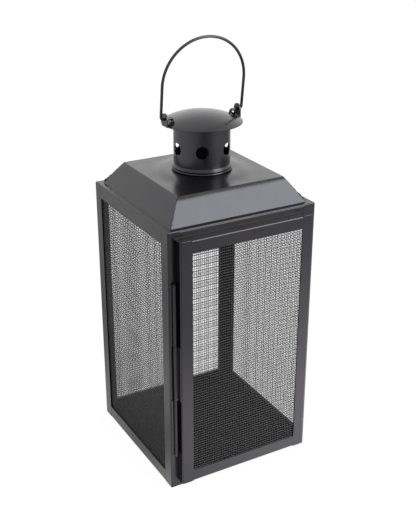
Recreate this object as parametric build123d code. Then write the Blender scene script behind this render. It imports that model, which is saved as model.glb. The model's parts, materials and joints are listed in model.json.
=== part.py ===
from build123d import *

# Square candle lantern: a welded frame of folded angle strip with woven-wire panels, a wire-mesh door
# on a long pin hinge, a hipped sheet roof, a vented chimney with a shallow domed cap, and a wire bail.
# Millimetres. X runs along the door face, the door faces -Y, Z is up. The origin is at the centre of
# the whole footprint, door included, on the surface that the lantern stands on.
import math
import os

# --- driving dimensions ---------------------------------------------------------------------------
WIDTH = 150.0  # outside width and depth of the square body
BODY_HEIGHT = 258.1  # standing surface to the top of the top rails
STRIP = 12.3  # leaf width of the body's angle strip
GAUGE = 1.2  # sheet thickness of the angle strip
BEND = 0.8  # outside bend radius of the angle strip

DOOR_PROUD = 7.9  # how far the door's front stands in front of the posts
DOOR_DEPTH = 7.6  # depth of the door strip's return leaf
DOOR_STRIP = 11.6  # width of the door strip's front leaf
DOOR_GAUGE = 1.0
DOOR_BEND = 1.2  # outside bend radius of the door strip
DOOR_LEFT = -67.2
DOOR_RIGHT = 68.7
DOOR_BOTTOM = 6.2
DOOR_TOP = 251.2

MESH_WIRE = 0.42  # wire of the woven mesh; a panel is two crossing wires thick
MESH_OVERLAP = 5.0  # how far a panel reaches behind the strip around it
FLOOR_GAUGE = 1.0
FLOOR_GAP = 0.5  # between the floor sheet and the rails around it

ROOF_GAUGE = 1.0
LEDGE = 5.7  # flat ledge around the foot of the roof slopes
ROOF_RISE = 22.0  # ledge to roof top
ROOF_TOP_HALF = 53.9  # half the width of the flat roof top
ROOF_FOLD = 0.9  # outside radius of the roof's folds
ROOF_RIM = 0.85  # rounding of the ledge's outer edge
ROOF_HOLE_RADIUS = 23.0
CROWN_RADIUS = 50.0  # where the roof top starts to rise towards the chimney
CROWN_SEAT = 29.0  # radius of the flat seat under the chimney
CROWN_RISE = 1.8

CHIMNEY_RADIUS = 26.0
CHIMNEY_WALL = 0.9
COLLAR_RADIUS = 27.9  # widest point of the lower of the collar's two beads
COLLAR_BEAD = 2.1  # height of each bead
COLLAR_ROOT = 26.85  # radius where the beads meet
COLLAR_STEP = 0.3  # how much narrower the upper bead is
COLLAR_HEIGHT = 5.6  # height of the collar with its tapered neck
COLLAR_NECK = 0.15  # thickness of the top edge of the neck
VENT_COUNT = 6
VENT_RADIUS = 5.8
VENT_HEIGHT = 23.0  # vent centre above the roof top
VENT_START = -28.5  # direction of the first vent, from -Y towards +X, in degrees

CAP_RADIUS = 37.0
CAP_DOME = 80.6  # outside radius of the dome's sphere
CAP_EDGE = 45.7  # edge of the dome above the roof top
CAP_LIP = 0.6  # short vertical lip below the dome's edge
CAP_GAUGE = 1.0

EAR_INNER = 31.5  # where an ear's foot starts, from the chimney's axis
EAR_FACE = 37.8  # outer face of an ear's tab
EAR_GAUGE = 1.2
EAR_WIDTH = 10.6
BAIL_PIVOT = 51.8  # bail pivot above the roof top
BAIL_WIRE = 1.3  # radius of the bail wire
BAIL_FIT = 0.08  # radial clearance of the wire in an ear
BAIL_HALF = 41.2  # half the width of the bail, to the wire's centre
BAIL_REACH = 70.5  # pivot to the top of the bail's centre line
BAIL_CROWN = 0.2  # short straight stretch at the top of the arch
BAIL_ELBOW = 2.6
BAIL_TIP = 30.0  # where the wire's end turns down, from the chimney's axis
BAIL_TIP_DROP = 2.0
BAIL_TIP_BEND = 1.5
BAIL_LEAN = 7.0  # lean towards the door at rest, in degrees

HINGE_X = -70.2
BARREL_RADIUS = 1.6
BARREL_GAP = 0.3  # between a barrel and the post behind it
PIN_RADIUS = 0.95
PIN_FIT = 0.05
LEAF_GAUGE = 0.8
LEAF_BITE = 0.3  # how deep a leaf enters the wall of its barrel
HINGE_BOTTOM = 36.2
HINGE_TOP = 211.4
KNUCKLE = 59.8  # length of each of the two knuckles on the post
KNUCKLE_GAP = 0.3
PIN_END = 1.0  # how far the pin stands out of the knuckles

# --- places worked out from the dimensions ---------------------------------------------------------
HALF = WIDTH / 2
CENTER_Y = DOOR_PROUD / 2
FRONT = CENTER_Y - HALF
REAR = CENTER_Y + HALF
DOOR_FRONT = FRONT - DOOR_PROUD
DOOR_BACK = DOOR_FRONT + DOOR_DEPTH
MESH_THICK = 2 * MESH_WIRE
LEDGE_TOP = BODY_HEIGHT + ROOF_GAUGE
ROOF_TOP = LEDGE_TOP + ROOF_RISE
CHIMNEY_FOOT = ROOF_TOP + CROWN_RISE
SLOPE_HALF = HALF - LEDGE
DOME_EDGE = ROOF_TOP + CAP_EDGE
DOME_CENTER = DOME_EDGE - math.sqrt(CAP_DOME**2 - CAP_RADIUS**2)
PIVOT_Z = ROOF_TOP + BAIL_PIVOT
HINGE_Y = FRONT - BARREL_RADIUS - BARREL_GAP

RIGHT, LEFT = Vector(1, 0, 0), Vector(-1, 0, 0)
BACK, FORTH = Vector(0, 1, 0), Vector(0, -1, 0)
UP, DOWN = Vector(0, 0, 1), Vector(0, 0, -1)


# --- helpers ---------------------------------------------------------------------------------------
def block(x0, x1, y0, y1, z0, z1):
    """A box between two corners."""
    middle = Pos((x0 + x1) / 2, (y0 + y1) / 2, (z0 + z1) / 2)
    return middle * Box(x1 - x0, y1 - y0, z1 - z0)


def rod(center, direction, radius, length):
    """A round bar that starts at center and runs along direction."""
    return extrude(Plane(origin=center, z_dir=direction) * Circle(radius), amount=length)


def angle_strip(corner, leaf_a, leaf_b, length, wide_a=STRIP, wide_b=STRIP, gauge=GAUGE, bend=BEND):
    """L-section strip. Its outer edge starts at corner and runs along leaf_a x leaf_b."""
    plane = Plane(origin=corner, x_dir=leaf_a, z_dir=leaf_a.cross(leaf_b))
    outline = Polyline(
        (0, 0), (wide_a, 0), (wide_a, gauge), (gauge, gauge), (gauge, wide_b), (0, wide_b), close=True
    )
    profile = make_face(outline)
    outer_corner = profile.vertices().sort_by_distance((0, 0, 0))[0]
    return extrude(plane * fillet(outer_corner, bend), amount=length)


def frustum(half_low, half_high, z_low, z_high):
    """A square pyramid without its point, standing on the body's axis."""
    low = Pos(0, CENTER_Y, z_low) * Rectangle(2 * half_low, 2 * half_low)
    high = Pos(0, CENTER_Y, z_high) * Rectangle(2 * half_high, 2 * half_high)
    return loft(Sketch() + [low, high])


def ball(radius):
    """A ball about the centre of the cap's dome."""
    return Pos(0, CENTER_Y, DOME_CENTER) * Sphere(radius)


# --- body frame ------------------------------------------------------------------------------------
def post(side, end):
    """A corner post: side is LEFT or RIGHT, end is FORTH or BACK."""
    corner = side * HALF + end * HALF + BACK * CENTER_Y
    leaves = (side * -1, end * -1)
    if leaves[0].cross(leaves[1]).Z < 0:
        leaves = leaves[::-1]
    return angle_strip(corner, *leaves, BODY_HEIGHT)


def rail(side, up, z):
    """A rail between two posts, with one leaf up the outside of its face and one leaf inwards."""
    inward = side * -1
    along = inward.cross(up)
    length = WIDTH - 2 * STRIP
    start = side * HALF + BACK * CENTER_Y + UP * z - along * (length / 2)
    return angle_strip(start, inward, up, length)


def floor_plate():
    """Sheet floor that lies on the inward leaves of the bottom rails."""
    half = HALF - GAUGE - FLOOR_GAP
    return block(-half, half, CENTER_Y - half, CENTER_Y + half, GAUGE, GAUGE + FLOOR_GAUGE)


def body_mesh(side):
    """Woven panel behind the leaves of one face, drawn as a sheet of the weave's thickness."""
    half = HALF - STRIP + MESH_OVERLAP
    depth = HALF - GAUGE - MESH_THICK / 2
    center = side * depth + BACK * CENTER_Y + UP * (BODY_HEIGHT / 2)
    across = MESH_THICK if side.X else 2 * half
    along = MESH_THICK if side.Y else 2 * half
    tall = BODY_HEIGHT - 2 * STRIP + 2 * MESH_OVERLAP
    return Pos(center) * Box(across, along, tall)


# --- roof and chimney ------------------------------------------------------------------------------
def crown(base):
    """The gentle rise in the middle of the roof top, with a flat seat for the chimney."""
    middle = ((CROWN_RADIUS + CROWN_SEAT) / 2, CROWN_RISE / 2)
    edge = [
        Line((0, 0), (CROWN_RADIUS, 0)),
        TangentArc((CROWN_RADIUS, 0), middle, tangent=(-1, 0)),
        TangentArc((CROWN_SEAT, CROWN_RISE), middle, tangent=(1, 0)),
        Line((CROWN_SEAT, CROWN_RISE), (0, CROWN_RISE)),
        Line((0, CROWN_RISE), (0, 0)),
    ]
    return Pos(0, CENTER_Y, base) * revolve(Plane.XZ * make_face(edge), Axis.Z)


def roof():
    """Folded sheet roof: a ledge, four slopes and a slightly crowned top, open under the chimney."""
    slope = (SLOPE_HALF - ROOF_TOP_HALF) / ROOF_RISE
    thick = ROOF_GAUGE * math.sqrt(1 + slope**2)
    outside = frustum(SLOPE_HALF, ROOF_TOP_HALF, LEDGE_TOP, ROOF_TOP)
    low, hips, high = outside.edges().group_by(Axis.Z)
    outside = fillet(hips + high, ROOF_FOLD) + crown(ROOF_TOP)
    base = block(-HALF, HALF, FRONT, REAR, BODY_HEIGHT, LEDGE_TOP)
    base = fillet(base.edges().filter_by(Axis.Z), BEND)
    base = fillet(base.faces().sort_by(Axis.Z)[-1].edges(), ROOF_RIM)
    inside_low = SLOPE_HALF + slope * ROOF_GAUGE - thick
    inside_high = ROOF_TOP_HALF + slope * ROOF_GAUGE - thick
    inside = frustum(inside_low, inside_high, BODY_HEIGHT, ROOF_TOP - ROOF_GAUGE)
    inside += crown(ROOF_TOP - ROOF_GAUGE)
    hole = rod((0, CENTER_Y, LEDGE_TOP), UP, ROOF_HOLE_RADIUS, CHIMNEY_FOOT - LEDGE_TOP)
    return base + outside - inside - hole


def chimney_tube():
    """Tube with a row of round vents, cut to meet the underside of the cap."""
    height = DOME_EDGE + CAP_DOME - CHIMNEY_FOOT
    foot = (0, CENTER_Y, CHIMNEY_FOOT)
    tube = rod(foot, UP, CHIMNEY_RADIUS, height) - rod(foot, UP, CHIMNEY_RADIUS - CHIMNEY_WALL, height)
    tube = tube & ball(CAP_DOME - CAP_GAUGE)
    for k in range(VENT_COUNT):
        angle = math.radians(VENT_START + 360 / VENT_COUNT * k)
        outward = Vector(math.sin(angle), -math.cos(angle), 0)
        tube -= rod((0, CENTER_Y, ROOF_TOP + VENT_HEIGHT), outward, VENT_RADIUS, 2 * CHIMNEY_RADIUS)
    return tube


def chimney_collar():
    """Rolled collar around the chimney's foot: two small beads and a neck that tapers to the tube."""
    inner = CHIMNEY_RADIUS
    second = 2 * COLLAR_BEAD
    upper = COLLAR_RADIUS - COLLAR_STEP
    neck = inner + COLLAR_NECK
    edge = [
        Line((inner, 0), (COLLAR_ROOT, 0)),
        ThreePointArc((COLLAR_ROOT, 0), (COLLAR_RADIUS, COLLAR_BEAD / 2), (COLLAR_ROOT, COLLAR_BEAD)),
        ThreePointArc((COLLAR_ROOT, COLLAR_BEAD), (upper, 1.5 * COLLAR_BEAD), (COLLAR_ROOT, second)),
        Line((COLLAR_ROOT, second), (neck, COLLAR_HEIGHT)),
        Line((neck, COLLAR_HEIGHT), (inner, COLLAR_HEIGHT)),
        Line((inner, COLLAR_HEIGHT), (inner, 0)),
    ]
    profile = Plane.XZ * make_face(edge)
    return Pos(0, CENTER_Y, CHIMNEY_FOOT) * revolve(profile, Axis.Z)


def cap():
    """Shallow domed cap with a short lip, open underneath."""
    dome = ball(CAP_DOME) - ball(CAP_DOME - CAP_GAUGE)
    lip_bottom = DOME_EDGE - CAP_LIP
    tall = CAP_DOME
    foot = (0, CENTER_Y, lip_bottom)
    disc = rod(foot, UP, CAP_RADIUS, tall)
    lip = rod(foot, UP, CAP_RADIUS, CAP_LIP) - rod(foot, UP, CAP_RADIUS - CAP_GAUGE, CAP_LIP)
    return (dome & disc) + (lip & ball(CAP_DOME))


def ear(side):
    """Bracket for one end of the bail: a foot on the cap's dome and an upright tab with a hole."""
    half = EAR_WIDTH / 2
    span = sorted((side.X * EAR_INNER, side.X * EAR_FACE))
    column = block(*span, CENTER_Y - half, CENTER_Y + half, DOME_CENTER, PIVOT_Z)
    foot = column & (ball(CAP_DOME + EAR_GAUGE) - ball(CAP_DOME))
    span = sorted((side.X * (EAR_FACE - EAR_GAUGE), side.X * EAR_FACE))
    tab = block(*span, CENTER_Y - half, CENTER_Y + half, DOME_CENTER, PIVOT_Z) - ball(CAP_DOME)
    start = side * (EAR_FACE - EAR_GAUGE) + BACK * CENTER_Y + UP * PIVOT_Z
    tab += rod(start, side, half, EAR_GAUGE)
    hole = rod(start - side * EAR_GAUGE, side, BAIL_WIRE + BAIL_FIT, 3 * EAR_GAUGE)
    return foot + tab - hole


# --- bail ------------------------------------------------------------------------------------------
def bail():
    """Wire handle: an arch on two legs whose ends turn in through the ears and then turn down."""
    corners = [
        (-BAIL_TIP, -BAIL_TIP_DROP),
        (-BAIL_TIP, 0),
        (-BAIL_HALF, 0),
        (-BAIL_HALF, BAIL_REACH),
        (BAIL_HALF, BAIL_REACH),
        (BAIL_HALF, 0),
        (BAIL_TIP, 0),
        (BAIL_TIP, -BAIL_TIP_DROP),
    ]
    arch = BAIL_HALF - BAIL_CROWN / 2
    radii = [BAIL_TIP_BEND, BAIL_ELBOW, arch, arch, BAIL_ELBOW, BAIL_TIP_BEND]
    path = Plane.XZ * FilletPolyline(*corners, radius=radii)
    section = Plane(origin=path @ 0, z_dir=path % 0) * Circle(BAIL_WIRE)
    return Pos(0, CENTER_Y, PIVOT_Z) * Rot(BAIL_LEAN, 0, 0) * sweep(section, path)


# --- door ------------------------------------------------------------------------------------------
def door_stile(side):
    """An upright of the door frame, with its return leaf along the door's outer edge."""
    tall = DOOR_TOP - DOOR_BOTTOM
    if side is LEFT:
        corner = Vector(DOOR_LEFT, DOOR_FRONT, DOOR_BOTTOM)
        return angle_strip(corner, RIGHT, BACK, tall, DOOR_STRIP, DOOR_DEPTH, DOOR_GAUGE, DOOR_BEND)
    corner = Vector(DOOR_RIGHT, DOOR_FRONT, DOOR_BOTTOM)
    return angle_strip(corner, BACK, LEFT, tall, DOOR_DEPTH, DOOR_STRIP, DOOR_GAUGE, DOOR_BEND)


def door_rail(up, z):
    """A rail of the door frame. Its front leaf is cut to fit between the stiles' front leaves."""
    along = BACK.cross(up)
    ends = (DOOR_LEFT + DOOR_GAUGE, DOOR_RIGHT - DOOR_GAUGE)
    start = Vector(ends[0] if along.X > 0 else ends[1], DOOR_FRONT, z)
    run = ends[1] - ends[0]
    strip = angle_strip(start, BACK, up, run, DOOR_DEPTH, DOOR_STRIP, DOOR_GAUGE, DOOR_BEND)
    spans = ((DOOR_LEFT, DOOR_LEFT + DOOR_STRIP), (DOOR_RIGHT - DOOR_STRIP, DOOR_RIGHT))
    for x0, x1 in spans:
        strip -= block(x0, x1, DOOR_FRONT, DOOR_FRONT + DOOR_GAUGE, DOOR_BOTTOM, DOOR_TOP)
        strip -= block(x0, x1, DOOR_FRONT, DOOR_BACK, DOOR_BOTTOM + DOOR_GAUGE, DOOR_TOP - DOOR_GAUGE)
    return strip


def door_mesh():
    """Woven panel behind the front leaves of the door frame."""
    inset = DOOR_STRIP - MESH_OVERLAP
    back = DOOR_FRONT + DOOR_GAUGE
    return block(
        DOOR_LEFT + inset,
        DOOR_RIGHT - inset,
        back,
        back + MESH_THICK,
        DOOR_BOTTOM + inset,
        DOOR_TOP - inset,
    )


# --- hinge -----------------------------------------------------------------------------------------
def barrel(z0, z1):
    """One knuckle's barrel around the hinge pin."""
    foot = (HINGE_X, HINGE_Y, z0)
    return rod(foot, UP, BARREL_RADIUS, z1 - z0) - rod(foot, UP, PIN_RADIUS + PIN_FIT, z1 - z0)


def post_knuckle(z0, z1):
    """A knuckle with its leaf on the front of the hinge-side post."""
    leaf = block(-HALF + BEND, HINGE_X, FRONT - LEAF_GAUGE, FRONT, z0, z1)
    leaf -= rod((HINGE_X, HINGE_Y, z0), UP, BARREL_RADIUS - LEAF_BITE, z1 - z0)
    return barrel(z0, z1) + leaf


def door_knuckle(z0, z1):
    """The door's knuckle, with a leaf that wraps onto the hinge stile's return."""
    web_front = HINGE_Y - BARREL_RADIUS
    web = block(HINGE_X, DOOR_LEFT, web_front, web_front + LEAF_GAUGE, z0, z1)
    web -= rod((HINGE_X, HINGE_Y, z0), UP, BARREL_RADIUS - LEAF_BITE, z1 - z0)
    leaf = block(DOOR_LEFT - LEAF_GAUGE, DOOR_LEFT, DOOR_FRONT + BEND, web_front + LEAF_GAUGE, z0, z1)
    return barrel(z0, z1) + web + leaf


def hinge_pin():
    """Straight pin through all three knuckles."""
    foot = (HINGE_X, HINGE_Y, HINGE_BOTTOM - PIN_END)
    return rod(foot, UP, PIN_RADIUS, HINGE_TOP - HINGE_BOTTOM + 2 * PIN_END)


# --- the whole lantern -----------------------------------------------------------------------------
def lantern():
    parts = {}
    for side_name, side in (("left", LEFT), ("right", RIGHT)):
        parts[f"post_front_{side_name}"] = post(side, FORTH)
        parts[f"post_rear_{side_name}"] = post(side, BACK)
        parts[f"bail_ear_{side_name}"] = ear(side)
        parts[f"mesh_{side_name}"] = body_mesh(side)
    for side_name, side in (("front", FORTH), ("rear", BACK), ("left", LEFT), ("right", RIGHT)):
        parts[f"bottom_rail_{side_name}"] = rail(side, UP, 0)
        parts[f"top_rail_{side_name}"] = rail(side, DOWN, BODY_HEIGHT)
    parts["mesh_rear"] = body_mesh(BACK)
    parts["floor_plate"] = floor_plate()
    parts["roof"] = roof()
    parts["chimney_tube"] = chimney_tube()
    parts["chimney_collar"] = chimney_collar()
    parts["chimney_cap"] = cap()
    parts["bail"] = bail()
    parts["door_stile_hinge"] = door_stile(LEFT)
    parts["door_stile_free"] = door_stile(RIGHT)
    parts["door_rail_top"] = door_rail(DOWN, DOOR_TOP)
    parts["door_rail_bottom"] = door_rail(UP, DOOR_BOTTOM)
    parts["door_mesh"] = door_mesh()
    low_end = HINGE_BOTTOM + KNUCKLE
    high_end = HINGE_TOP - KNUCKLE
    parts["hinge_knuckle_lower"] = post_knuckle(HINGE_BOTTOM, low_end)
    parts["hinge_knuckle_upper"] = post_knuckle(high_end, HINGE_TOP)
    parts["hinge_knuckle_door"] = door_knuckle(low_end + KNUCKLE_GAP, high_end - KNUCKLE_GAP)
    parts["hinge_pin"] = hinge_pin()
    return parts


os.makedirs("parts", exist_ok=True)
for name, shape in lantern().items():
    export_step(shape, f"parts/{name}.step")
    print(f"{name}: {shape.volume:.1f} mm3")
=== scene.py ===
"""Looks for the candle lantern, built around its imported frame. Metres, +Z up, the door faces -Y."""
import json
import math
import random

import bpy
from mathutils import Matrix, Vector


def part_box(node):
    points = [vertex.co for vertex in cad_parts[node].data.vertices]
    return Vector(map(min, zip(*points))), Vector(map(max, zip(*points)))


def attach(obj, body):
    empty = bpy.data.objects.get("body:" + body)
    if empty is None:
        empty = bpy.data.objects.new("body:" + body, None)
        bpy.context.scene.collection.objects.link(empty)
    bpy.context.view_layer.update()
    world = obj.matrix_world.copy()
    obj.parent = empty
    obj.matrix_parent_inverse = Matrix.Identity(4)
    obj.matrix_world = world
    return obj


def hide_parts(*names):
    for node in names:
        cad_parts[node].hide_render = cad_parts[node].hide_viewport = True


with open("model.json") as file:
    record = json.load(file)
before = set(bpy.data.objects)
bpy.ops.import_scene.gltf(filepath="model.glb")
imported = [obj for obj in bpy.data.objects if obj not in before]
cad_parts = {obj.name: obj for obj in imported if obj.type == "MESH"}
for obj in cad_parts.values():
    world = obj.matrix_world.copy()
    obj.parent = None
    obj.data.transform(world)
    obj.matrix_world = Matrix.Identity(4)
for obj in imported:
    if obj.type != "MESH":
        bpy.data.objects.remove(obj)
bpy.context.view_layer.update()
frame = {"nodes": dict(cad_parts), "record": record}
NODES = frame["nodes"]
SLOTS = {part["node"]: part["material_slot"] for part in frame["record"]["subparts"]}
MM = 0.001

# --- places, from the frame ----------------------------------------------------------------------
ROOF_LOW, ROOF_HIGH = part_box("roof")
BODY_CENTER = Vector(((ROOF_LOW.x + ROOF_HIGH.x) / 2, (ROOF_LOW.y + ROOF_HIGH.y) / 2, 0))


# --- shading helpers -----------------------------------------------------------------------------
class Nodes:
    """A material's node tree, with short calls to add and link nodes."""

    def __init__(self, name):
        self.material = bpy.data.materials.new(name)
        self.material.use_nodes = True
        self.tree = self.material.node_tree
        self.shader = self.tree.nodes["Principled BSDF"]

    def add(self, kind, **values):
        node = self.tree.nodes.new("ShaderNode" + kind)
        for key, value in values.items():
            setattr(node, key, value)
        return node

    def link(self, output, socket):
        self.tree.links.new(output, socket)

    def noise(self, scale, detail=2.0, roughness=0.5, stretch=(1, 1, 1)):
        """Noise over the object's own coordinates, in features of about 1/scale metres."""
        place = self.add("TexCoord")
        mapping = self.add("Mapping")
        mapping.inputs["Scale"].default_value = stretch
        texture = self.add("TexNoise")
        texture.inputs["Scale"].default_value = scale
        texture.inputs["Detail"].default_value = detail
        texture.inputs["Roughness"].default_value = roughness
        self.link(place.outputs["Object"], mapping.inputs["Vector"])
        self.link(mapping.outputs["Vector"], texture.inputs["Vector"])
        return texture.outputs["Fac"]

    def ramp(self, value, stops):
        """Maps a value to greys or colours. stops are (position, colour) pairs."""
        node = self.add("ValToRGB")
        elements = node.color_ramp.elements
        for k, (position, color) in enumerate(stops):
            element = elements[k] if k < 2 else elements.new(position)
            element.position = position
            shade = color if hasattr(color, "__len__") else (color,) * 3
            element.color = (*shade, 1)
        self.link(value, node.inputs["Fac"])
        return node.outputs["Color"]

    def bump(self, height, distance, strength, normal=None):
        node = self.add("Bump")
        node.inputs["Distance"].default_value = distance
        node.inputs["Strength"].default_value = strength
        self.link(height, node.inputs["Height"])
        if normal is not None:
            self.link(normal, node.inputs["Normal"])
        return node.outputs["Normal"]


# --- materials -----------------------------------------------------------------------------------
FOLD_LOW, FOLD_HIGH = 275.5 * MM, 281.1 * MM  # heights between which the roof's slope turns
FOLD_DROP = 1.3 * MM  # how far the turned sheet lies under the slope's plane
INWARD = -0.02  # under this much of outward(), in metres, a face looks inwards
DARKER, LIGHTER = 0.84, 1.2  # slow tone changes, as shares of the coat's colour
SMOOTHER, ROUGHER = 0.04, 0.05  # changes of roughness from patch to patch
DENT = 0.6 * MM
PEEL = 0.08 * MM
SPECKLE = 0.02 * MM
WIRE_GRAIN = 0.01 * MM
LACQUER_IOR = 1.5


def outward(n):
    """How far a face points away from the lantern's middle: under 0 on the frame's inner faces."""
    place = n.add("TexCoord")
    away = n.add("VectorMath", operation="SUBTRACT")
    away.inputs[1].default_value = BODY_CENTER
    n.link(place.outputs["Object"], away.inputs[0])
    level = n.add("VectorMath", operation="MULTIPLY")
    level.inputs[1].default_value = (1, 1, 0)
    n.link(away.outputs["Vector"], level.inputs[0])
    along = n.add("VectorMath", operation="DOT_PRODUCT")
    n.link(level.outputs["Vector"], along.inputs[0])
    n.link(place.outputs["Normal"], along.inputs[1])
    return along.outputs["Value"]


def soft_fold(n):
    """Normals of a sheet that turns softly into the roof's upper fold, over the slope's last few mm."""
    place = n.add("TexCoord")
    split = n.add("SeparateXYZ")
    n.link(place.outputs["Object"], split.inputs["Vector"])
    rise = n.add("MapRange")
    rise.inputs["From Min"].default_value = FOLD_LOW
    rise.inputs["From Max"].default_value = FOLD_HIGH
    n.link(split.outputs["Z"], rise.inputs["Value"])
    square = n.add("Math", operation="POWER")
    square.inputs[1].default_value = 2
    n.link(rise.outputs["Result"], square.inputs[0])
    bump = n.add("Bump", invert=True)
    bump.inputs["Distance"].default_value = FOLD_DROP
    bump.inputs["Strength"].default_value = 1
    n.link(square.outputs["Value"], bump.inputs["Height"])
    return bump.outputs["Normal"]


def powder_coat(name, color, roughness=0.3, peel=0.5, waves=0.3, gloss=0.5, inside=None, fold=False):
    """Black powder coat: slow dents of the sheet, orange peel, fine speckle and soft tone changes.

    gloss is the coat's specular level, and inside the lower level given to faces that look inwards,
    which makes them look darker. fold softens the roof's upper fold.
    """
    n = Nodes(name)
    low = tuple(c * DARKER for c in color)
    high = tuple(c * LIGHTER for c in color)
    n.link(n.ramp(n.noise(18, 3), [(0.35, low), (0.65, high)]), n.shader.inputs["Base Color"])
    patches = n.noise(70, 4, 0.6)
    rough = n.ramp(patches, [(0.3, roughness - SMOOTHER), (0.7, roughness + ROUGHER)])
    n.link(rough, n.shader.inputs["Roughness"])
    dents = n.bump(n.noise(28, 1), DENT, waves, soft_fold(n) if fold else None)
    orange_peel = n.bump(n.noise(700, 2), PEEL, peel, dents)
    speckle = n.bump(n.noise(3200, 1), SPECKLE, 0.3, orange_peel)
    n.link(speckle, n.shader.inputs["Normal"])
    n.shader.inputs["IOR"].default_value = LACQUER_IOR
    n.shader.inputs["Specular IOR Level"].default_value = gloss
    # Faces that look inwards get a lower specular level, which makes them look darker.
    if inside is not None:
        dull = n.add("MapRange")
        dull.inputs["From Min"].default_value = INWARD
        dull.inputs["From Max"].default_value = 0.0
        dull.inputs["To Min"].default_value = inside
        dull.inputs["To Max"].default_value = gloss
        n.link(outward(n), dull.inputs["Value"])
        n.link(dull.outputs["Result"], n.shader.inputs["Specular IOR Level"])
    n.shader.inputs["Specular Tint"].default_value = SHEEN
    return n.material


BLACK = (0.0018, 0.0017, 0.0019)
SHEEN = (0.985, 0.937, 1.0, 1)
COATS = {
    "frame_paint": powder_coat("frame_coat", BLACK, 0.22, inside=0.04),
    "door_paint": powder_coat("door_coat", BLACK, 0.22),
    "roof_paint": powder_coat("roof_coat", (0.0018, 0.0017, 0.002), 0.22, 0.5, 0.4, fold=True),
    "floor_paint": powder_coat("floor_coat", (0.0016, 0.0015, 0.0017), 0.6, gloss=0.03),
    "hinge_paint": powder_coat("hinge_coat", BLACK, 0.28),
    "bail_paint": powder_coat("bail_coat", BLACK, 0.26),
}


def wire_coat():
    """Dark coated wire: small streaks along the wire."""
    n = Nodes("wire_coat")
    streaks = n.noise(900, 2, 0.6, (1, 1, 0.2))
    n.link(n.ramp(streaks, [(0.3, (0.005, 0.005, 0.0053)), (0.7, (0.012, 0.0117, 0.0117))]),
           n.shader.inputs["Base Color"])
    n.link(n.ramp(n.noise(500, 2), [(0.3, 0.26), (0.7, 0.38)]), n.shader.inputs["Roughness"])
    n.link(n.bump(n.noise(6000, 1), WIRE_GRAIN, 0.3), n.shader.inputs["Normal"])
    n.shader.inputs["IOR"].default_value = LACQUER_IOR
    n.shader.inputs["Specular IOR Level"].default_value = 0.58
    return n.material


WIRE_COAT = wire_coat()

for node, obj in NODES.items():
    obj.data.materials.clear()
    obj.data.materials.append(COATS.get(SLOTS[node], WIRE_COAT))


# --- woven-wire panels ---------------------------------------------------------------------------
WARP_PITCH = 1.95 * MM  # between upright wires
WEFT_PITCH = 2.58 * MM  # between level wires
WARP_RADIUS = 0.215 * MM
WEFT_RADIUS = 0.265 * MM
WIRE_SIDES = 5
STEP = 0.17  # half the flat crest over a crossing wire, as a share of the pitch
HIDDEN = 2.6 * MM  # how far the wires' ends reach behind the strip, less than the CAD sheet does
SHEET_REACH = 5.0 * MM  # how far the CAD sheet reaches behind the strip


def wire_set(name, center, axes, size, pitches, radius, lift, phase):
    """One direction of a plain weave: parallel wires that step over and under the crossing wires.

    axes are unit vectors: the wires' direction, the direction in which they repeat and the sheet's
    normal. size and pitches are the panel's size and the weave's pitch along the first two. Each
    wire is a tube with two rings on every crossing.
    """
    along, across, out = axes
    crossings = int(size[0] / pitches[0])
    wires = int(size[1] / pitches[1])
    flat = STEP * pitches[0]
    corners = [math.tau * k / WIRE_SIDES for k in range(WIRE_SIDES)]
    ring = [(across * math.cos(a) + out * math.sin(a)) * radius for a in corners]
    points, faces = [], []
    for wire in range(wires):
        shift = across * ((wire - (wires - 1) / 2) * pitches[1])
        first = len(points)
        for crossing in range(crossings):
            up = 1 if (wire + crossing + phase) % 2 else -1
            middle = (crossing - (crossings - 1) / 2) * pitches[0]
            for step in (-flat, flat):
                core = center + shift + along * (middle + step) + out * (up * lift)
                points.extend(core + corner for corner in ring)
        for k in range(crossings * 2 - 1):
            start = first + WIRE_SIDES * k
            over = start + WIRE_SIDES
            for side in range(WIRE_SIDES):
                after = (side + 1) % WIRE_SIDES
                faces.append((start + side, start + after, over + after, over + side))
        last = len(points) - WIRE_SIDES
        faces.append([first + side for side in reversed(range(WIRE_SIDES))])
        faces.append([last + side for side in range(WIRE_SIDES)])
    mesh = bpy.data.meshes.new(name)
    mesh.from_pydata(points, [], faces)
    mesh.polygons.foreach_set("use_smooth", [True] * len(faces))
    mesh.materials.append(WIRE_COAT)
    obj = bpy.data.objects.new(name, mesh)
    bpy.context.scene.collection.objects.link(obj)
    return obj


def woven_panel(node, out, body):
    """Replaces a CAD sheet with its warp and weft wires."""
    low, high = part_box(node)
    center = (low + high) / 2
    size = high - low
    thin = min(size)
    trim = 2 * (SHEET_REACH - HIDDEN)
    up = Vector((0, 0, 1))
    across = out.cross(up)
    width = max(size.x, size.y) - trim
    height = size.z - trim
    tall, wide = (height, width), (width, height)
    pitches = (WEFT_PITCH, WARP_PITCH)
    lift = thin / 2 - WARP_RADIUS
    warp = wire_set(node + "_warp", center, (up, across, out), tall, pitches, WARP_RADIUS, lift, 0)
    pitches = (WARP_PITCH, WEFT_PITCH)
    lift = thin / 2 - WEFT_RADIUS
    weft = wire_set(node + "_weft", center, (across, up, out), wide, pitches, WEFT_RADIUS, lift, 1)
    for piece in (warp, weft):
        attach(piece, body)
        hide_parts(node)


woven_panel("mesh_left", Vector((-1, 0, 0)), "root")
woven_panel("mesh_right", Vector((1, 0, 0)), "root")
woven_panel("mesh_rear", Vector((0, 1, 0)), "root")
woven_panel("door_mesh", Vector((0, -1, 0)), "door")


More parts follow.
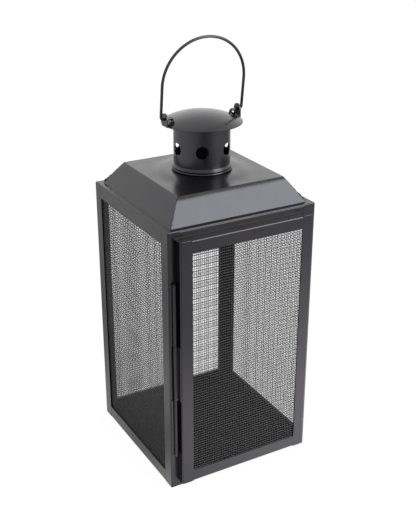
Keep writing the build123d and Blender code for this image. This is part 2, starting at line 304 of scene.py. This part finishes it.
# --- weld beads and paint lumps ------------------------------------------------------------------
BEAD_STEP = 1.1 * MM  # between the rings of a bead
BEAD_TIP = 0.25  # thickness of a bead's ends, as a share of its middle
BEAD_TAPER = 4  # how fast a bead thickens from its ends, per share of its length
SEAM = 0.28 * MM  # radius of a paint-filled seam's bead
EDGE_SEAM = 1.4 * SEAM
SUNK = 0.12 * MM  # how deep a bead's axis lies under the sheet's face
HIP_FOOT, HIP_LOW = 68.6 * MM, 259.9 * MM  # a hip's lower end: out from the middle, and height
HIP_HEAD, HIP_HIGH = 54.0 * MM, 280.2 * MM  # its upper end
ROUGH_SHARE = 0.36  # share of a hip that is roughly welded
ROUGH_BEAD = 0.85 * MM
THIN_BEAD = 0.4 * MM
LUMP = 0.4 * MM
LUMP_RUN = Vector((1.6 * MM, 0, 0.1 * MM))
LUMP_PLACES = ((17, 4.2), (23, 4.6), (30, 4.0))  # mm in from the rail's right end, and down


def bead(name, path, radius, body, slot, unevenness=0.3, sides=8):
    """A thin bead along a straight path: a tube of wandering thickness with closed, tapered ends."""
    numbers = random.Random(name)
    points, faces = [], []
    start, end = path
    run = end - start
    rings = max(6, int(run.length / BEAD_STEP))
    ahead = run.normalized()
    side = ahead.orthogonal().normalized()
    other = ahead.cross(side)
    for ring in range(rings + 1):
        share = ring / rings
        swell = 1 + unevenness * (numbers.random() * 2 - 1)
        taper = min(1.0, BEAD_TIP + BEAD_TAPER * min(share, 1 - share))
        core = start + run * share
        for k in range(sides):
            angle = math.tau * k / sides
            around = side * math.cos(angle) + other * math.sin(angle)
            points.append(core + around * (radius * swell * taper))
    for ring in range(rings):
        low = ring * sides
        for k in range(sides):
            after = (k + 1) % sides
            faces.append((low + k, low + after, low + sides + after, low + sides + k))
    last = rings * sides
    faces.append(list(reversed(range(sides))))
    faces.append(list(range(last, last + sides)))
    mesh = bpy.data.meshes.new(name)
    mesh.from_pydata(points, [], faces)
    mesh.polygons.foreach_set("use_smooth", [True] * len(faces))
    mesh.materials.append(COATS[slot])
    obj = bpy.data.objects.new(name, mesh)
    bpy.context.scene.collection.objects.link(obj)
    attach(obj, body)
    return obj


def door_beads():
    """Paint-filled seams between the door's rails and stiles, and along the stiles' ends."""
    for node, inner in (("door_stile_hinge", 1), ("door_stile_free", -1)):
        low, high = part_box(node)
        seam = high.x if inner > 0 else low.x
        outer = low.x if inner > 0 else high.x
        front = low.y + SUNK
        width = abs(seam - outer)
        for z, way, place in ((high.z, -1, "top"), (low.z, 1, "bottom")):
            path = (Vector((seam, front, z)), Vector((seam, front, z + way * width)))
            bead(f"{node}_seam_{place}", path, SEAM, "door", "door_paint")
            edge = (Vector((outer, front + SEAM, z)), Vector((seam, front + SEAM, z)))
            bead(f"{node}_edge_{place}", edge, EDGE_SEAM, "door", "door_paint", 0.1)


def body_beads():
    """Paint-filled seams where the rails meet the posts, on all four faces."""
    low_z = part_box("bottom_rail_front")[0].z
    high_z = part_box("top_rail_front")[1].z
    for wall, out in (("front", (0, -1)), ("rear", (0, 1)), ("left", (-1, 0)), ("right", (1, 0))):
        low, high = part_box("bottom_rail_" + wall)
        tall = high.z - low_z
        for name, z, way in (("bottom", low_z, 1), ("top", high_z, -1)):
            for end in (0, 1):
                if out[0]:
                    x = (low.x if out[0] < 0 else high.x) - out[0] * SUNK
                    y = (low.y, high.y)[end]
                else:
                    x = (low.x, high.x)[end]
                    y = (low.y if out[1] < 0 else high.y) - out[1] * SUNK
                path = (Vector((x, y, z + way * SEAM)), Vector((x, y, z + way * tall)))
                bead(f"{wall}_seam_{name}_{end}", path, SEAM, "root", "frame_paint")


def hip_beads():
    """Weld along the roof's four hips: rough lumps at the foot, then a thin even bead to the top."""
    for corner, (x_way, y_way) in enumerate(((-1, -1), (1, -1), (1, 1), (-1, 1))):
        foot = BODY_CENTER + Vector((x_way * HIP_FOOT, y_way * HIP_FOOT, HIP_LOW))
        head = BODY_CENTER + Vector((x_way * HIP_HEAD, y_way * HIP_HEAD, HIP_HIGH))
        rough = foot.lerp(head, ROUGH_SHARE)
        bead(f"hip_weld_{corner}", (foot, rough), ROUGH_BEAD, "root", "bail_paint", 0.5)
        bead(f"hip_seam_{corner}", (rough, head), THIN_BEAD, "root", "bail_paint", 0.25)


def paint_lumps():
    """Three small lumps of paint on the front top rail, near its right end."""
    low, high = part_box("top_rail_front")
    for k, (inset, drop) in enumerate(LUMP_PLACES):
        start = Vector((high.x - inset * MM, low.y, high.z - drop * MM))
        bead(f"paint_lump_{k}", (start, start + LUMP_RUN), LUMP, "root", "frame_paint", 0.4)


door_beads()
body_beads()
hip_beads()
paint_lumps()


# --- stage ---------------------------------------------------------------------------------------
def panel(name, width, depth, location, facing, color, emission=0.0):
    """A flat studio panel that faces along `facing`."""
    mesh = bpy.data.meshes.new(name)
    half_w, half_d = width / 2, depth / 2
    corners = [(-half_w, -half_d, 0), (half_w, -half_d, 0), (half_w, half_d, 0), (-half_w, half_d, 0)]
    mesh.from_pydata(corners, [], [(0, 1, 2, 3)])
    obj = bpy.data.objects.new(name, mesh)
    bpy.context.scene.collection.objects.link(obj)
    obj.location = location
    obj.rotation_mode = "QUATERNION"
    obj.rotation_quaternion = Vector(facing).to_track_quat("Z", "Y")
    n = Nodes(name)
    n.shader.inputs["Base Color"].default_value = (*color, 1)
    n.shader.inputs["Roughness"].default_value = 0.9
    n.shader.inputs["Specular IOR Level"].default_value = 0.0
    n.shader.inputs["Emission Color"].default_value = (1, 1, 1, 1)
    n.shader.inputs["Emission Strength"].default_value = emission
    mesh.materials.append(n.material)
    return obj


def reflection_only(obj):
    """The panel is seen in the object's gloss, but not by the camera, and it lights nothing else."""
    obj.visible_camera = False
    obj.visible_diffuse = False
    obj.visible_transmission = False
    obj.visible_volume_scatter = False
    obj.visible_shadow = False


PALE = (0.04, 0.04, 0.04)
CARD = (0.0, 0.0, 0.0)
UPWARDS = (0, 0, 1)
FLOOR_SIDE = 8
FLOOR_PLACE = (0, 0, -0.0003)
FLOOR_LIGHT = 0.96
WORLD_LIGHT = 1.25
panel("floor", FLOOR_SIDE, FLOOR_SIDE, FLOOR_PLACE, UPWARDS, PALE, FLOOR_LIGHT)

world = bpy.data.worlds.new("studio")
bpy.context.scene.world = world
world.use_nodes = True
world.node_tree.nodes["Background"].inputs["Color"].default_value = (1, 1, 1, 1)
world.node_tree.nodes["Background"].inputs["Strength"].default_value = WORLD_LIGHT
bpy.context.scene.view_settings.view_transform = "Standard"


def pool(n, place, middle, spread, amount):
    """A round pool of more light (amount over 0) or less light around `middle`: 1 + amount * bell."""
    distance = n.add("VectorMath", operation="DISTANCE")
    distance.inputs[1].default_value = (*middle, 0)
    n.link(place, distance.inputs[0])
    square = n.add("Math", operation="POWER")
    square.inputs[1].default_value = 2
    n.link(distance.outputs["Value"], square.inputs[0])
    scaled = n.add("Math", operation="MULTIPLY")
    scaled.inputs[1].default_value = -0.5 / spread**2
    n.link(square.outputs["Value"], scaled.inputs[0])
    bell = n.add("Math", operation="EXPONENT")
    n.link(scaled.outputs["Value"], bell.inputs[0])
    result = n.add("Math", operation="MULTIPLY_ADD")
    result.inputs[1].default_value = amount
    result.inputs[2].default_value = 1
    n.link(bell.outputs["Value"], result.inputs[0])
    return result.outputs["Value"]


def pooled_light(n, base, pools):
    """Emission of `base` over a level panel, times every pool of more or less light on it."""
    place = n.add("TexCoord").outputs["Object"]
    light = None
    for middle, spread, amount in pools:
        factor = n.add("Math", operation="MULTIPLY")
        factor.inputs[0].default_value = base
        if light is not None:
            n.link(light, factor.inputs[0])
        n.link(pool(n, place, middle, spread, amount), factor.inputs[1])
        light = factor.outputs["Value"]
    n.link(light, n.shader.inputs["Emission Strength"])
    n.shader.inputs["Emission Color"].default_value = (1, 1, 1, 1)
    n.shader.inputs["Specular IOR Level"].default_value = 0
    return n.material


# Pools of light on the reflected table: middle in metres, spread and amount of each.
TABLE_SIDE = 6
TABLE_PLACE = (0, 0, 0.0005)
TABLE_POOLS = (
    ((0.17, -0.15), 0.21, 1.8),  # bright patch in front of the door
    ((0.6, -0.8), 0.25, 0.1),  # far front right
    ((-0.95, 0.1), 0.45, 0.33),  # far left
    ((-0.24, -0.86), 0.34, -1.0),  # dark towards the camera
    ((0.07, -0.36), 0.09, -0.48),  # small dark patch seen in the hinge stile
    ((-0.17, 0.3), 0.2, -0.55),  # dark behind the left side
    ((-0.15, 0.95), 0.3, -0.5),  # dark far behind
    ((-0.1, 0), 0.055, -0.6),  # contact shade at the left side
    ((1.1, 0.1), 0.4, -0.65),  # dark on the far right
)


def table_reflection():
    """What the object's gloss sees of the table: bright in front, dark where the camera stands."""
    card = panel("table_reflection", TABLE_SIDE, TABLE_SIDE, TABLE_PLACE, UPWARDS, CARD)
    card.rotation_quaternion = (1, 0, 0, 0)
    reflection_only(card)
    n = Nodes("table_light")
    n.shader.inputs["Base Color"].default_value = (0, 0, 0, 1)
    card.data.materials.clear()
    card.data.materials.append(pooled_light(n, 1.0, TABLE_POOLS))


table_reflection()

# Softboxes: a cool one high at the front right, a low one under it, one high behind at the right.
LOOK_AT = Vector((0, 0, 0.25))
FAR = 2.1  # from the lantern's middle to a softbox


def softbox(name, width, height, azimuth, elevation, strength, color=(1, 1, 1)):
    """A softbox that faces the lantern. Azimuth runs in degrees from the door's side to the right."""
    turn, rise = math.radians(azimuth), math.radians(elevation)
    away = Vector((math.sin(turn) * math.cos(rise), -math.cos(turn) * math.cos(rise), math.sin(rise)))
    box = panel(name, width, height, LOOK_AT + away * FAR, -away, CARD, strength)
    shader = box.data.materials[0].node_tree.nodes["Principled BSDF"]
    shader.inputs["Emission Color"].default_value = (*color, 1)
    box.visible_camera = False
    box.visible_shadow = False
    return box


softbox("key", 1.3, 1.2, 40, 40, 6.4, (0.975, 1.02, 1.074))
softbox("low_key", 1.1, 0.8, 32, 12, 9.0)
softbox("back_right", 1.6, 0.9, 145, 26, 1.45)


# --- camera --------------------------------------------------------------------------------------
CAMERA_AZIMUTH = -29.644
CAMERA_TILT = 24.045
CAMERA_ROLL = 0.107
CAMERA_LENS = 64.201
CAMERA_PLACE = Vector((-0.39708, -0.70939, 0.55212))


def aim_camera():
    """The camera stands at the front left, a little above the lantern, and looks down on it."""
    data = bpy.data.cameras.new("camera")
    data.lens = CAMERA_LENS
    data.sensor_width = 36
    camera = bpy.data.objects.new("camera", data)
    bpy.context.scene.collection.objects.link(camera)
    azimuth, tilt = math.radians(CAMERA_AZIMUTH), math.radians(CAMERA_TILT)
    back = Vector(
        (math.sin(azimuth) * math.cos(tilt), -math.cos(azimuth) * math.cos(tilt), math.sin(tilt))
    )
    level = Vector((math.cos(azimuth), math.sin(azimuth), 0))
    turned = Matrix.Rotation(math.radians(CAMERA_ROLL), 3, back) @ level
    up = back.cross(turned)
    camera.matrix_world = Matrix.LocRotScale(
        BODY_CENTER + CAMERA_PLACE, Matrix((turned, up, back)).transposed(), None
    )
    bpy.context.scene.camera = camera


aim_camera()
